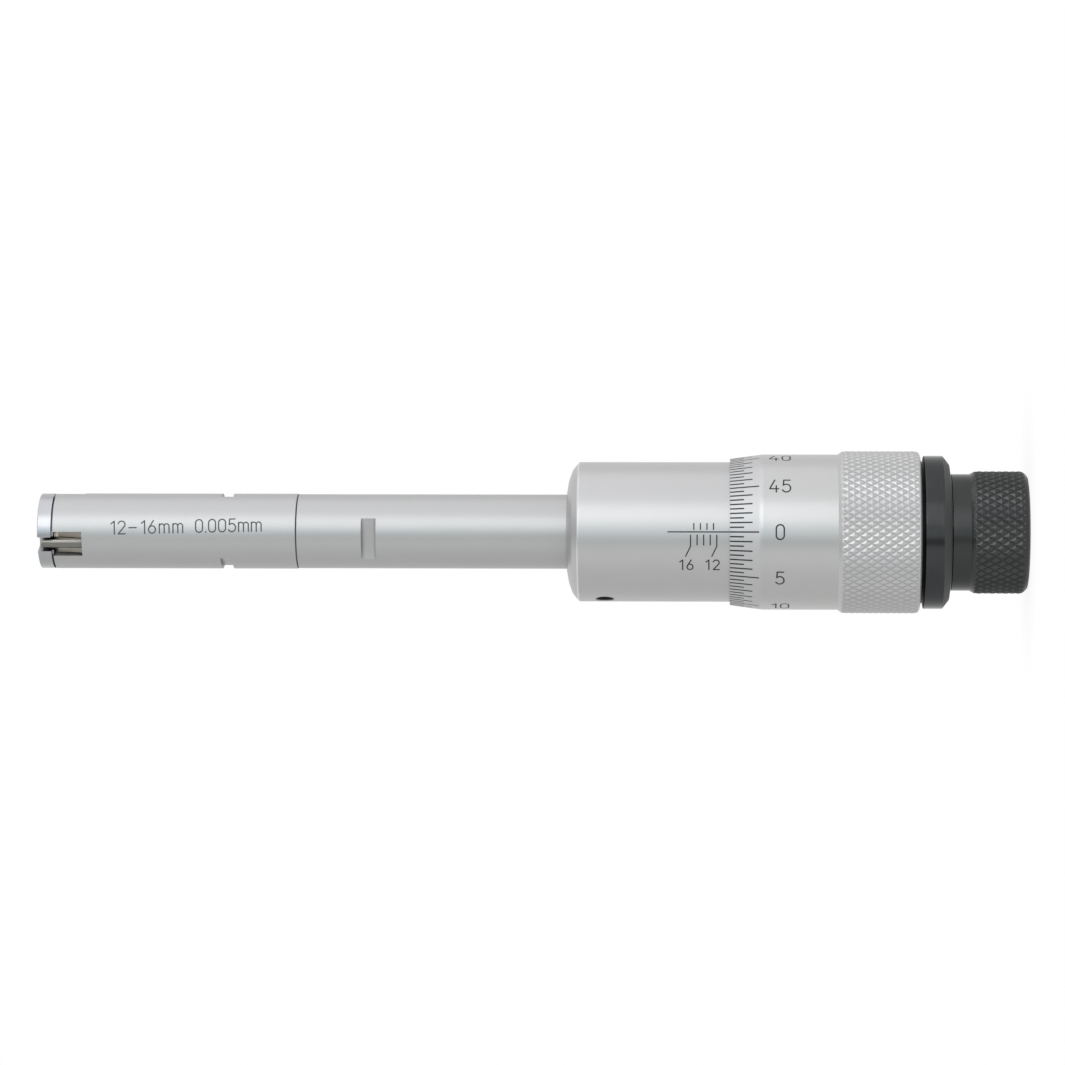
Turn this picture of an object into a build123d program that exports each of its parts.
from build123d import *
import os
from math import pi

# A three-point inside micrometer, 12 to 16 mm, 0.005 mm graduation.
# It stands on the flat end of its ratchet knob, with the measuring head at the top.
# Lengths are in millimetres. Heights are measured up from the end of the knob.
# The scale faces -Y. Angles are in degrees, measured from +X about +Z.

# Fits, all radial unless named otherwise
running_fit = 0.04
seat_fit = 0.01
end_play = 0.1
thimble_fit = 0.08

# Ratchet knob and its neck
knob_radius = 9.45
knob_knurl_length = 9.0
knob_edge_radius = 1.4
knob_top_bevel = 0.9
neck_radius = 9.0
neck_length = 2.8
knob_floor = 3.0
knob_cavity_radius = 7.5

# Shoulder screw on which the knob turns
shoulder_radius = 2.0
shoulder_head_radius = 3.0
shoulder_head_height = 1.4
shoulder_head_recess = 0.3
shoulder_thread_radius = 1.3
shoulder_thread_length = 7.0
driver_slot_width = 0.6
driver_slot_depth = 0.5

# Ratchet: two rings with face teeth, shown crest on crest
tooth_count = 20
tooth_height = 0.4
click_ring_thickness = 1.8
click_ring_radius = 6.6
click_lug_width = 2.0
click_lug_height = 1.0
click_lug_count = 3
click_groove_depth = 0.4
ratchet_ring_bore = 3.2
ratchet_wheel_radius = 7.0
ratchet_wheel_thickness = 1.6
ratchet_spring_radius = 4.6
ratchet_spring_wire = 0.35
ratchet_spring_turns = 4

# Black flange that clamps the thimble on the spindle
flange_below_knurl = 0.69
flange_length = 4.4
flange_upper_bevel = 0.3
flange_lower_bevel = 1.25
thimble_groove = 0.3
register_inset = 2.23

# Thimble
thimble_length = 29.25
thimble_wall = 1.12
knurl_rise = 0.52
knurl_length = 11.9
knurl_edge_radius = 1.2
knurl_bevel_length = 0.8
scale_bevel_length = 4.95
scale_edge_wall = 0.42
thimble_floor = 5.4

# Spindle, the micrometer screw
screw_pitch = 0.5
turns_of_travel = 12
spindle_radius = 3.5
spindle_tip_radius = 2.6
spindle_tip_length = 3.0
taper_large_radius = 5.2
taper_small_radius = 4.6
spindle_stub_radius = 2.6
spindle_stub_length = 3.2

# Graduated sleeve
sleeve_radius = 10.8
sleeve_exposed = 25.15
sleeve_cover = 15.6
sleeve_wall = 1.8
sleeve_nose_wall = 4.0
nose_face_inset = 3.8
nose_shoulder_inset = 1.9
nose_shoulder_drop = 0.55
nose_drop = 1.9
nose_edge_radius = 1.0
spanner_hole_radius = 1.25
spanner_hole_countersink = 1.55
spanner_hole_below_nose = 5.9
spanner_hole_angle = 192

# Inner sleeve with the nut, and the ring nut that adjusts it
nut_length = 18.0
ring_nut_clearance = 0.5
ring_nut_wall = 1.3
ring_nut_length = 4.0
ring_nut_inset = 1.0
ring_nut_notch_width = 2.0
ring_nut_notch_depth = 0.7
stem_socket_depth = 7.0

# Stem
stem_radius = 5.75
stem_exposed = 41.8
stem_wall = 1.85
stem_spigot_wall = 0.3
stem_spigot_length = 8.0
joint_bevel = 0.12
stem_flat_below_joint = 10.1
stem_flat_length = 2.27
stem_flat_depth = 1.0
stem_flat_angle = 256

# Push rod, its guide, its ball and its return spring
rod_radius = 2.0
rod_collar_clearance = 0.3
rod_collar_length = 3.0
rod_collar_below_guide = 20.0
rod_thread_length = 5.0
guide_below_joint = 2.0
guide_length = 6.0
ball_radius = 1.5
ball_cup_depth = 0.7
return_spring_wire = 0.4
return_spring_turns = 9

# Measuring head
head_radius = 5.82
head_length = 37.7
head_wall = 1.22
head_neck_radius = 2.6
head_flat_above_joint = 10.0
head_flat_length = 1.83
head_flat_depth = 1.0
head_flat_angle = 190
anvil_angle = 248
anvil_count = 3
window_width = 4.0
window_length = 4.5
cap_joint = 0.3
cap_step = 0.02
cap_length = 2.1
cap_front_wall = 1.4
cap_slot_width = 2.3
cap_slot_depth = 2.7
cap_edge_bevel = 0.15
cap_register_step = 0.5

# Cap screws, between the slots
cap_screw_inset = 1.7
cap_screw_radius = 0.7
cap_screw_head_radius = 1.2
cap_screw_head_height = 0.8
cap_screw_thread_length = 4.0
cap_screw_slot_width = 0.35
cap_screw_slot_depth = 0.3

# Anvils and the wedge that drives them
anvil_inset = 0.05
anvil_shoulder_inset = 0.45
anvil_rib_width = 1.35
anvil_tip_setback = 0.9
anvil_rib_bevel = 0.3
wedge_ratio = 0.5
wedge_nose_inset = 1.5
wedge_nose_below_window = 0.6
idle_travel = 1.5
plunger_body_length = 12.0

# Key that keeps the plunger from turning
key_radius = 0.6
key_below_plunger_top = 2.4
key_depth = 2.0
key_end_recess = 0.2
keyway_clearance = 0.1

# Forked leaf springs on the anvils' shoulders
leaf_thickness = 0.15
leaf_width = 3.4
leaf_root_length = 4.5
leaf_arm_length = 3.8
leaf_groove_depth = 0.35

# Heights of the outside, from the bottom up
knob_top = knob_knurl_length + neck_length
flange_bottom = knob_top + end_play
flange_top = flange_bottom + flange_length
thimble_bottom = flange_top + thimble_groove
thimble_top = thimble_bottom + thimble_length
sleeve_top = thimble_top + sleeve_exposed
sleeve_bottom = thimble_top - sleeve_cover
stem_top = sleeve_top + stem_exposed
head_top = stem_top + head_length
cap_bottom = head_top + cap_joint
cap_top = cap_bottom + cap_length

# Travel of the screw, from rest to the largest bore
travel = screw_pitch * turns_of_travel

# Radii that follow the sleeve
sleeve_bore_radius = sleeve_radius - sleeve_wall
thimble_bore_radius = sleeve_radius + thimble_fit
scale_edge_radius = thimble_bore_radius + scale_edge_wall
thimble_radius = thimble_bore_radius + thimble_wall
knurl_radius = thimble_radius + knurl_rise
flange_radius = knurl_radius - flange_below_knurl
register_radius = flange_radius - register_inset
nose_face_radius = sleeve_radius - nose_face_inset
nose_shoulder_radius = sleeve_radius - nose_shoulder_inset
ring_nut_radius = sleeve_bore_radius - ring_nut_clearance
ring_nut_seat_radius = ring_nut_radius - ring_nut_wall

# Radii that follow the stem and the head
stem_bore_radius = stem_radius - stem_wall
stem_spigot_radius = stem_bore_radius + stem_spigot_wall
rod_collar_radius = stem_bore_radius - rod_collar_clearance
head_bore_radius = head_radius - head_wall
cap_radius = head_radius - cap_step
cap_register_radius = cap_radius - cap_register_step
cap_screw_circle = cap_radius - cap_screw_inset
anvil_reach = cap_radius - anvil_inset
anvil_shoulder = head_bore_radius - anvil_shoulder_inset
wedge_nose_radius = head_bore_radius - wedge_nose_inset

# Places inside the head
window_bottom = head_top - window_length
anvil_bottom = window_bottom + running_fit
nose_top = window_bottom - wedge_nose_below_window
plunger_radius = head_bore_radius - running_fit
fin_width = window_width - 2 * running_fit
plunger_body_top = window_bottom - travel - end_play
plunger_bottom = plunger_body_top - plunger_body_length
head_bore_bottom = plunger_bottom - end_play
key_height = plunger_body_top - key_below_plunger_top
spigot_top = stem_top + stem_spigot_length

# Places inside the stem and the sleeve
guide_top = stem_top - guide_below_joint
guide_bottom = guide_top - guide_length
collar_top = guide_bottom - rod_collar_below_guide
inner_sleeve_top = sleeve_top - sleeve_nose_wall
stem_bottom = inner_sleeve_top - stem_socket_depth
inner_sleeve_radius = sleeve_bore_radius - seat_fit
nut_top = sleeve_bottom + nut_length
spindle_tip = nut_top + spindle_tip_length
ball_centre = spindle_tip + ball_radius + running_fit
thimble_floor_top = thimble_bottom + thimble_floor

# Places inside the ratchet
wheel_bottom = flange_bottom - ratchet_wheel_thickness
click_ring_top = wheel_bottom - running_fit
click_ring_bottom = click_ring_top - click_ring_thickness
shoulder_bottom = shoulder_head_recess + shoulder_head_height


def turned(*corners):
    """A solid turned about the axis, from its (radius, height) corners."""
    outline = Polyline(*[(radius, 0, height) for radius, height in corners], close=True)
    return revolve(make_face(outline), Axis.Z)


def bar(radius, bottom, top):
    """A round bar on the axis."""
    return turned((0, bottom), (radius, bottom), (radius, top), (0, top))


def tube(outer, inner, bottom, top):
    """A plain tube on the axis."""
    return turned((inner, bottom), (outer, bottom), (outer, top), (inner, top))


def radial_block(inner, outer, width, bottom, top, angle):
    """A block that runs outward from the axis at an angle."""
    sizes = (outer - inner, width, top - bottom)
    block = Box(*sizes, align=(Align.MIN, Align.CENTER, Align.MIN))
    return Rot(0, 0, angle) * (Pos(inner, 0, bottom) * block)


def radial_plate(width, angle, *corners):
    """A plate through the axis, from the (radius, height) corners of its side view."""
    outline = Polyline(*[(radius, 0, height) for radius, height in corners], close=True)
    plate = extrude(make_face(outline), amount=width / 2, both=True)
    return Rot(0, 0, angle) * plate


def rounded_rim(solid, radius, height, size):
    """The solid with its circular edge of that radius and height rounded."""
    slack = 0.001
    rims = [
        edge
        for edge in solid.edges().filter_by(GeomType.CIRCLE)
        if abs(edge.radius - radius) < slack and abs(edge.center().Z - height) < slack
    ]
    return fillet(rims, size)


def distance_from_axis(edge):
    """How far the middle of an edge lies from the axis."""
    middle = edge.center()
    return Vector(middle.X, middle.Y, 0).length


def coil(radius, wire, bottom, top, turns):
    """A coil spring of round wire between two heights."""
    rise = top - bottom - 2 * wire
    path = Pos(0, 0, bottom + wire) * Helix(rise / turns, rise, radius)
    section = Plane(origin=path @ 0, z_dir=path % 0) * Circle(wire)
    return sweep(section, path)


def radial_pin(radius, inner, outer, height, angle):
    """A round pin that runs outward from the axis at a height and an angle."""
    pin = Rot(0, 90, 0) * bar(radius, inner, outer)
    return Rot(0, 0, angle) * (Pos(0, 0, height) * pin)


def anvil_directions():
    """The angle of each anvil, with its number."""
    step = 360 / anvil_count
    return [(number + 1, anvil_angle + number * step) for number in range(anvil_count)]


def screw_directions():
    """The angle of each cap screw, half way between two anvils."""
    half_step = 180 / anvil_count
    return [(number, angle + half_step) for number, angle in anvil_directions()]


def lug_directions():
    """The angle of each lug of the click ring."""
    return [360 * index / click_lug_count for index in range(click_lug_count)]


def spanner_flats(radius, depth, bottom, length, angle):
    """Two opposite blocks that cut spanner flats into a round."""
    flat = radius - depth
    reach = 2 * radius
    first = radial_block(flat, reach, reach, bottom, bottom + length, angle)
    second = radial_block(flat, reach, reach, bottom, bottom + length, angle + 180)
    return first + second


def tooth_gaps(inner, outer, base, height):
    """The spaces between the face teeth of a ratchet ring, each a wedge-shaped bar."""
    width = pi * (inner + outer) / 2 / tooth_count
    corners = [(0, -width / 2, base), (0, width / 2, base), (0, 0, base + height)]
    outline = Polyline(*corners, close=True)
    reach = outer - inner + 2 * width
    gap = Pos(inner - width, 0, 0) * extrude(make_face(outline), amount=reach, dir=(1, 0, 0))
    return [Rot(0, 0, 360 * index / tooth_count) * gap for index in range(tooth_count)]


def head_body():
    """The head tube: bore, three windows, leaf grooves, screw holes and spanner flats."""
    outer = turned(
        (0, stem_top),
        (head_radius - joint_bevel, stem_top),
        (head_radius, stem_top + joint_bevel),
        (head_radius, head_top),
        (0, head_top),
    )
    body = outer - bar(head_bore_radius, head_bore_bottom, window_bottom)
    body -= bar(head_neck_radius, stem_top, head_bore_bottom)
    body -= bar(stem_spigot_radius + seat_fit, stem_top, spigot_top + end_play)
    groove_outer = head_bore_radius + leaf_groove_depth
    groove_width = leaf_width + 2 * running_fit
    groove_bottom = window_bottom - leaf_root_length
    for number, angle in anvil_directions():
        body -= radial_block(0, 2 * head_radius, window_width, window_bottom, head_top, angle)
        body -= radial_block(0, groove_outer, groove_width, groove_bottom, window_bottom, angle)
    for number, angle in screw_directions():
        hole_radius = cap_screw_radius + seat_fit
        hole = bar(hole_radius, head_top - cap_screw_thread_length - end_play, head_top)
        body -= Rot(0, 0, angle) * (Pos(cap_screw_circle, 0, 0) * hole)
    body -= radial_pin(key_radius + seat_fit, 0, 2 * head_radius, key_height, anvil_angle + 180)
    flat_bottom = stem_top + head_flat_above_joint
    body -= spanner_flats(head_radius, head_flat_depth, flat_bottom, head_flat_length, head_flat_angle)
    return body


def head_cap():
    """The end cap: a register over the joint, three slots, a wedge pocket and screw holes."""
    disc = turned(
        (0, cap_bottom),
        (cap_radius, cap_bottom),
        (cap_radius, cap_top - cap_edge_bevel),
        (cap_radius - cap_edge_bevel, cap_top),
        (0, cap_top),
    )
    cap = disc + bar(cap_register_radius, head_top, cap_bottom)
    pocket_top = cap_top - cap_front_wall
    pocket = bar(head_bore_radius, head_top, pocket_top)
    pocket_arms = [
        radial_block(0, head_bore_radius, window_width, head_top, pocket_top, angle)
        for number, angle in anvil_directions()
    ]
    cap -= pocket & (pocket_arms[0] + pocket_arms[1] + pocket_arms[2])
    slot_root = cap_radius - cap_slot_depth
    for number, angle in anvil_directions():
        cap -= radial_block(slot_root, 2 * cap_radius, cap_slot_width, head_top, cap_top, angle)
    for number, angle in screw_directions():
        head_floor = cap_top - cap_screw_head_height
        shank = bar(cap_screw_radius + seat_fit, head_top, cap_top)
        recess = bar(cap_screw_head_radius + seat_fit, head_floor, cap_top)
        cap -= Rot(0, 0, angle) * (Pos(cap_screw_circle, 0, 0) * (shank + recess))
    return cap


def cap_screw(angle):
    """One cap screw with a slotted cheese head, flush with the cap."""
    head_floor = cap_top - cap_screw_head_height
    shank = bar(cap_screw_radius, head_top - cap_screw_thread_length, head_floor)
    head = bar(cap_screw_head_radius, head_floor, cap_top)
    slot_floor = cap_top - cap_screw_slot_depth
    half_length = 2 * cap_screw_head_radius
    slot = radial_block(-half_length, half_length, cap_screw_slot_width, slot_floor, cap_top, 0)
    return Rot(0, 0, angle) * (Pos(cap_screw_circle, 0, 0) * (shank + head - slot))


def wedge_face(height):
    """Distance of an anvil's inclined face from the axis at a height, at rest."""
    return wedge_nose_radius + running_fit + wedge_ratio * (idle_travel + nose_top - height)


def anvil(angle):
    """One anvil: a wide base on the wedge, and the narrow measuring rib out to the tip."""
    base_top = head_top - running_fit
    base = radial_plate(
        fin_width,
        angle,
        (wedge_face(anvil_bottom), anvil_bottom),
        (anvil_shoulder, anvil_bottom),
        (anvil_shoulder, base_top),
        (wedge_face(base_top), base_top),
    )
    rib_root = cap_radius - cap_slot_depth + end_play
    tip = cap_top - anvil_tip_setback
    rib = radial_plate(
        anvil_rib_width,
        angle,
        (wedge_face(anvil_bottom), anvil_bottom),
        (anvil_reach, anvil_bottom),
        (anvil_reach, tip),
        (rib_root, tip),
        (rib_root, base_top),
        (wedge_face(base_top), base_top),
    )
    solid = (base + rib) & bar(anvil_reach, anvil_bottom, tip)
    upright_edges = solid.edges().filter_by(Axis.Z)
    rib_corners = sorted(upright_edges, key=distance_from_axis)[-2:]
    return chamfer(rib_corners, anvil_rib_bevel)


def anvil_spring(angle):
    """One leaf spring: a root in a groove of the head bore, and two arms beside the rib."""
    bottom = window_bottom - leaf_root_length + end_play
    tip = window_bottom + leaf_arm_length
    root = head_bore_radius + leaf_groove_depth - leaf_thickness - end_play
    seat = anvil_shoulder + seat_fit
    leaf = radial_plate(
        leaf_width,
        angle,
        (root, bottom),
        (root + leaf_thickness, bottom),
        (root + leaf_thickness, window_bottom),
        (seat + leaf_thickness, tip),
        (seat, tip),
        (root, window_bottom),
    )
    fork_width = anvil_rib_width + 2 * end_play
    return leaf - radial_block(0, 2 * head_radius, fork_width, window_bottom, tip, angle)


def plunger_key():
    """The pin in the head wall that runs in the plunger's keyway."""
    inner = plunger_radius - key_depth / 2
    return radial_pin(key_radius, inner, head_radius - key_end_recess, key_height, anvil_angle + 180)


def cone_plunger():
    """The plunger: a round body and three fins whose inclined ends drive the anvils."""
    taper_bottom = nose_top - (plunger_radius - wedge_nose_radius) / wedge_ratio
    fins = [
        radial_plate(
            fin_width,
            angle,
            (0, plunger_bottom),
            (plunger_radius, plunger_bottom),
            (plunger_radius, taper_bottom),
            (wedge_nose_radius, nose_top),
            (0, nose_top),
        )
        for number, angle in anvil_directions()
    ]
    nose = (fins[0] + fins[1] + fins[2]) & bar(plunger_radius, plunger_bottom, nose_top)
    body = bar(plunger_radius, plunger_bottom, plunger_body_top)
    rod_hole = bar(rod_radius + seat_fit, plunger_bottom, plunger_bottom + rod_thread_length)
    keyway_top = key_height + key_radius + keyway_clearance
    keyway_bottom = key_height - travel - key_radius - keyway_clearance
    keyway_floor = plunger_radius - key_depth / 2 - keyway_clearance
    keyway_width = 2 * (key_radius + running_fit)
    keyway_place = (keyway_bottom, keyway_top, anvil_angle + 180)
    keyway = radial_block(keyway_floor, head_radius, keyway_width, *keyway_place)
    return body + nose - rod_hole - keyway


def push_rod():
    """The push rod: screwed into the plunger, with a spring collar and a cup for the ball."""
    collar_bottom = collar_top - rod_collar_length
    rod = turned(
        (0, ball_centre + ball_cup_depth),
        (rod_radius, ball_centre + ball_cup_depth),
        (rod_radius, collar_bottom),
        (rod_collar_radius, collar_bottom),
        (rod_collar_radius, collar_top),
        (rod_radius, collar_top),
        (rod_radius, plunger_bottom + rod_thread_length),
        (0, plunger_bottom + rod_thread_length),
    )
    return rod - Pos(0, 0, ball_centre) * Sphere(ball_radius + seat_fit)


def thrust_ball():
    """The ball between the spindle and the push rod."""
    return Pos(0, 0, ball_centre) * Sphere(ball_radius)


def rod_guide():
    """The bush that guides the push rod at the top of the stem."""
    return tube(stem_bore_radius - seat_fit, rod_radius + running_fit, guide_bottom, guide_top)


def return_spring():
    """The coil spring between the guide and the collar of the push rod."""
    radius = (rod_radius + stem_bore_radius) / 2
    return coil(radius, return_spring_wire, collar_top, guide_bottom, return_spring_turns)


def stem_tube():
    """The stem: a threaded spigot into the head, a stepped bore and spanner flats."""
    outer = turned(
        (0, stem_bottom),
        (stem_radius, stem_bottom),
        (stem_radius, stem_top - joint_bevel),
        (stem_radius - joint_bevel, stem_top),
        (stem_spigot_radius, stem_top),
        (stem_spigot_radius, spigot_top),
        (0, spigot_top),
    )
    stem = outer - bar(stem_bore_radius, stem_bottom, guide_top)
    stem -= bar(head_neck_radius, guide_top, spigot_top)
    flat_bottom = stem_top - stem_flat_below_joint - stem_flat_length
    stem -= spanner_flats(stem_radius, stem_flat_depth, flat_bottom, stem_flat_length, stem_flat_angle)
    return stem


def graduated_sleeve():
    """The graduated sleeve: a rounded nose round the stem and a spanner hole."""
    sleeve = turned(
        (sleeve_bore_radius, sleeve_bottom),
        (sleeve_radius, sleeve_bottom),
        (sleeve_radius, sleeve_top - nose_drop),
        (nose_shoulder_radius, sleeve_top - nose_shoulder_drop),
        (nose_face_radius, sleeve_top),
        (stem_radius + seat_fit, sleeve_top),
        (stem_radius + seat_fit, inner_sleeve_top),
        (sleeve_bore_radius, inner_sleeve_top),
    )
    sleeve = rounded_rim(sleeve, sleeve_radius, sleeve_top - nose_drop, nose_edge_radius)
    sleeve = rounded_rim(sleeve, nose_shoulder_radius, sleeve_top - nose_shoulder_drop, nose_edge_radius)
    countersink_depth = spanner_hole_countersink - spanner_hole_radius
    hole = turned(
        (0, 0),
        (spanner_hole_radius, 0),
        (spanner_hole_radius, sleeve_radius - countersink_depth),
        (spanner_hole_countersink, sleeve_radius),
        (spanner_hole_countersink, sleeve_radius + sleeve_wall),
        (0, sleeve_radius + sleeve_wall),
    )
    hole_height = sleeve_top - spanner_hole_below_nose
    return sleeve - Rot(0, 0, spanner_hole_angle) * (Pos(0, 0, hole_height) * (Rot(0, 90, 0) * hole))


def inner_sleeve():
    """The core of the sleeve: a socket for the stem at the top and the nut at the bottom."""
    seat_top = sleeve_bottom + ring_nut_inset + ring_nut_length
    core = turned(
        (spindle_radius + running_fit, sleeve_bottom),
        (ring_nut_seat_radius, sleeve_bottom),
        (ring_nut_seat_radius, seat_top),
        (inner_sleeve_radius, seat_top),
        (inner_sleeve_radius, inner_sleeve_top),
        (stem_radius + seat_fit, inner_sleeve_top),
        (stem_radius + seat_fit, stem_bottom),
        (stem_bore_radius, stem_bottom),
        (stem_bore_radius, nut_top),
        (spindle_radius + running_fit, nut_top),
    )
    return core


def adjusting_nut():
    """The ring nut that squeezes the nut thread, with four spanner notches."""
    bottom = sleeve_bottom + ring_nut_inset
    ring = tube(ring_nut_radius, ring_nut_seat_radius + seat_fit, bottom, bottom + ring_nut_length)
    notch_top = bottom + ring_nut_notch_depth
    notch_reach = 2 * ring_nut_radius
    ring -= radial_block(-notch_reach, notch_reach, ring_nut_notch_width, bottom, notch_top, 0)
    ring -= radial_block(-notch_reach, notch_reach, ring_nut_notch_width, bottom, notch_top, 90)
    return ring


def spindle():
    """The micrometer screw: its tip, its thread, the taper for the thimble and a threaded stub."""
    taper_top = thimble_floor_top
    screw = turned(
        (0, thimble_bottom - spindle_stub_length),
        (spindle_stub_radius, thimble_bottom - spindle_stub_length),
        (spindle_stub_radius, thimble_bottom),
        (taper_small_radius, thimble_bottom),
        (taper_large_radius, taper_top),
        (spindle_radius, taper_top),
        (spindle_radius, nut_top),
        (spindle_tip_radius, nut_top),
        (spindle_tip_radius, spindle_tip),
        (0, spindle_tip),
    )
    hole_radius = shoulder_thread_radius + seat_fit
    stub_bottom = thimble_bottom - spindle_stub_length
    return screw - bar(hole_radius, stub_bottom, stub_bottom + shoulder_thread_length + end_play)


def thimble():
    """The thimble: a bevelled scale edge, a plain barrel, the knurled band and a floor."""
    knurl_top = thimble_bottom + knurl_length
    outer = turned(
        (taper_small_radius + seat_fit, thimble_bottom),
        (knurl_radius, thimble_bottom),
        (knurl_radius, knurl_top),
        (thimble_radius, knurl_top + knurl_bevel_length),
        (thimble_radius, thimble_top - scale_bevel_length),
        (scale_edge_radius, thimble_top),
        (thimble_bore_radius, thimble_top),
        (thimble_bore_radius, thimble_floor_top),
        (taper_large_radius + seat_fit, thimble_floor_top),
    )
    return rounded_rim(outer, knurl_radius, thimble_bottom, knurl_edge_radius)


def ratchet_base():
    """The black flange, screwed on the spindle's stub, with a register under the thimble."""
    stub_bottom = thimble_bottom - spindle_stub_length
    flange = turned(
        (shoulder_thread_radius + running_fit, flange_bottom),
        (flange_radius - flange_lower_bevel, flange_bottom),
        (flange_radius, flange_bottom + flange_lower_bevel),
        (flange_radius, flange_top - flange_upper_bevel),
        (flange_radius - flange_upper_bevel, flange_top),
        (register_radius, flange_top),
        (register_radius, thimble_bottom),
        (spindle_stub_radius + seat_fit, thimble_bottom),
        (spindle_stub_radius + seat_fit, stub_bottom),
        (shoulder_thread_radius + running_fit, stub_bottom),
    )
    return flange


def ratchet_wheel():
    """The fixed ratchet ring under the flange, with its teeth facing down."""
    ring = tube(ratchet_wheel_radius, ratchet_ring_bore, wheel_bottom, flange_bottom)
    for gap in tooth_gaps(ratchet_ring_bore, ratchet_wheel_radius, wheel_bottom, tooth_height):
        ring -= gap
    return ring


def click_ring():
    """The sliding ratchet ring, keyed in the knob, with its teeth facing up."""
    ring = tube(click_ring_radius, ratchet_ring_bore, click_ring_bottom, click_ring_top)
    lug_top = click_ring_bottom + click_lug_height
    lug_root = (ratchet_ring_bore + click_ring_radius) / 2
    lug_reach = knob_cavity_radius + click_groove_depth - running_fit
    for angle in lug_directions():
        ring += radial_block(lug_root, lug_reach, click_lug_width, click_ring_bottom, lug_top, angle)
    for gap in tooth_gaps(ratchet_ring_bore, click_ring_radius, click_ring_top, -tooth_height):
        ring -= gap
    return ring


def ratchet_spring():
    """The coil spring that presses the click ring on the ratchet wheel."""
    sizes = (ratchet_spring_radius, ratchet_spring_wire)
    return coil(*sizes, knob_floor, click_ring_bottom, ratchet_spring_turns)


def ratchet_screw():
    """The shoulder screw: it joins knob, ratchet and flange to the spindle."""
    stub_bottom = thimble_bottom - spindle_stub_length
    screw = turned(
        (0, shoulder_head_recess),
        (shoulder_head_radius, shoulder_head_recess),
        (shoulder_head_radius, shoulder_bottom),
        (shoulder_radius, shoulder_bottom),
        (shoulder_radius, flange_bottom),
        (shoulder_thread_radius, flange_bottom),
        (shoulder_thread_radius, stub_bottom + shoulder_thread_length),
        (0, stub_bottom + shoulder_thread_length),
    )
    slot_top = shoulder_head_recess + driver_slot_depth
    reach = 2 * shoulder_head_radius
    return screw - radial_block(-reach, reach, driver_slot_width, shoulder_head_recess, slot_top, 0)


def ratchet_knob():
    """The knob: a knurled grip, a neck, a cavity for the ratchet and the screw's recess."""
    outer = turned(
        (0, 0),
        (knob_radius, 0),
        (knob_radius, knob_knurl_length - knob_top_bevel),
        (neck_radius, knob_knurl_length),
        (neck_radius, knob_top),
        (0, knob_top),
    )
    knob = rounded_rim(outer, knob_radius, 0, knob_edge_radius)
    knob -= bar(knob_cavity_radius, knob_floor, knob_top)
    knob -= bar(shoulder_radius + running_fit, 0, knob_floor)
    knob -= bar(shoulder_head_radius + end_play, 0, shoulder_bottom + running_fit)
    groove_reach = knob_cavity_radius + click_groove_depth
    groove_width = click_lug_width + 2 * running_fit
    for angle in lug_directions():
        knob -= radial_block(0, groove_reach, groove_width, knob_floor, knob_top, angle)
    return knob


def all_pieces():
    """Every piece of the instrument, by name."""
    pieces = {
        "head_body": head_body(),
        "head_cap": head_cap(),
        "cone_plunger": cone_plunger(),
        "plunger_key": plunger_key(),
        "push_rod": push_rod(),
        "thrust_ball": thrust_ball(),
        "rod_guide": rod_guide(),
        "return_spring": return_spring(),
        "stem_tube": stem_tube(),
        "graduated_sleeve": graduated_sleeve(),
        "inner_sleeve": inner_sleeve(),
        "adjusting_nut": adjusting_nut(),
        "spindle": spindle(),
        "thimble": thimble(),
        "ratchet_base": ratchet_base(),
        "ratchet_wheel": ratchet_wheel(),
        "click_ring": click_ring(),
        "ratchet_spring": ratchet_spring(),
        "ratchet_screw": ratchet_screw(),
        "ratchet_knob": ratchet_knob(),
    }
    for number, angle in anvil_directions():
        pieces[f"anvil_{number}"] = anvil(angle)
        pieces[f"anvil_spring_{number}"] = anvil_spring(angle)
    for number, angle in screw_directions():
        pieces[f"cap_screw_{number}"] = cap_screw(angle)
    return pieces


os.makedirs("parts", exist_ok=True)
for name, piece in all_pieces().items():
    export_step(piece, f"parts/{name}.step")
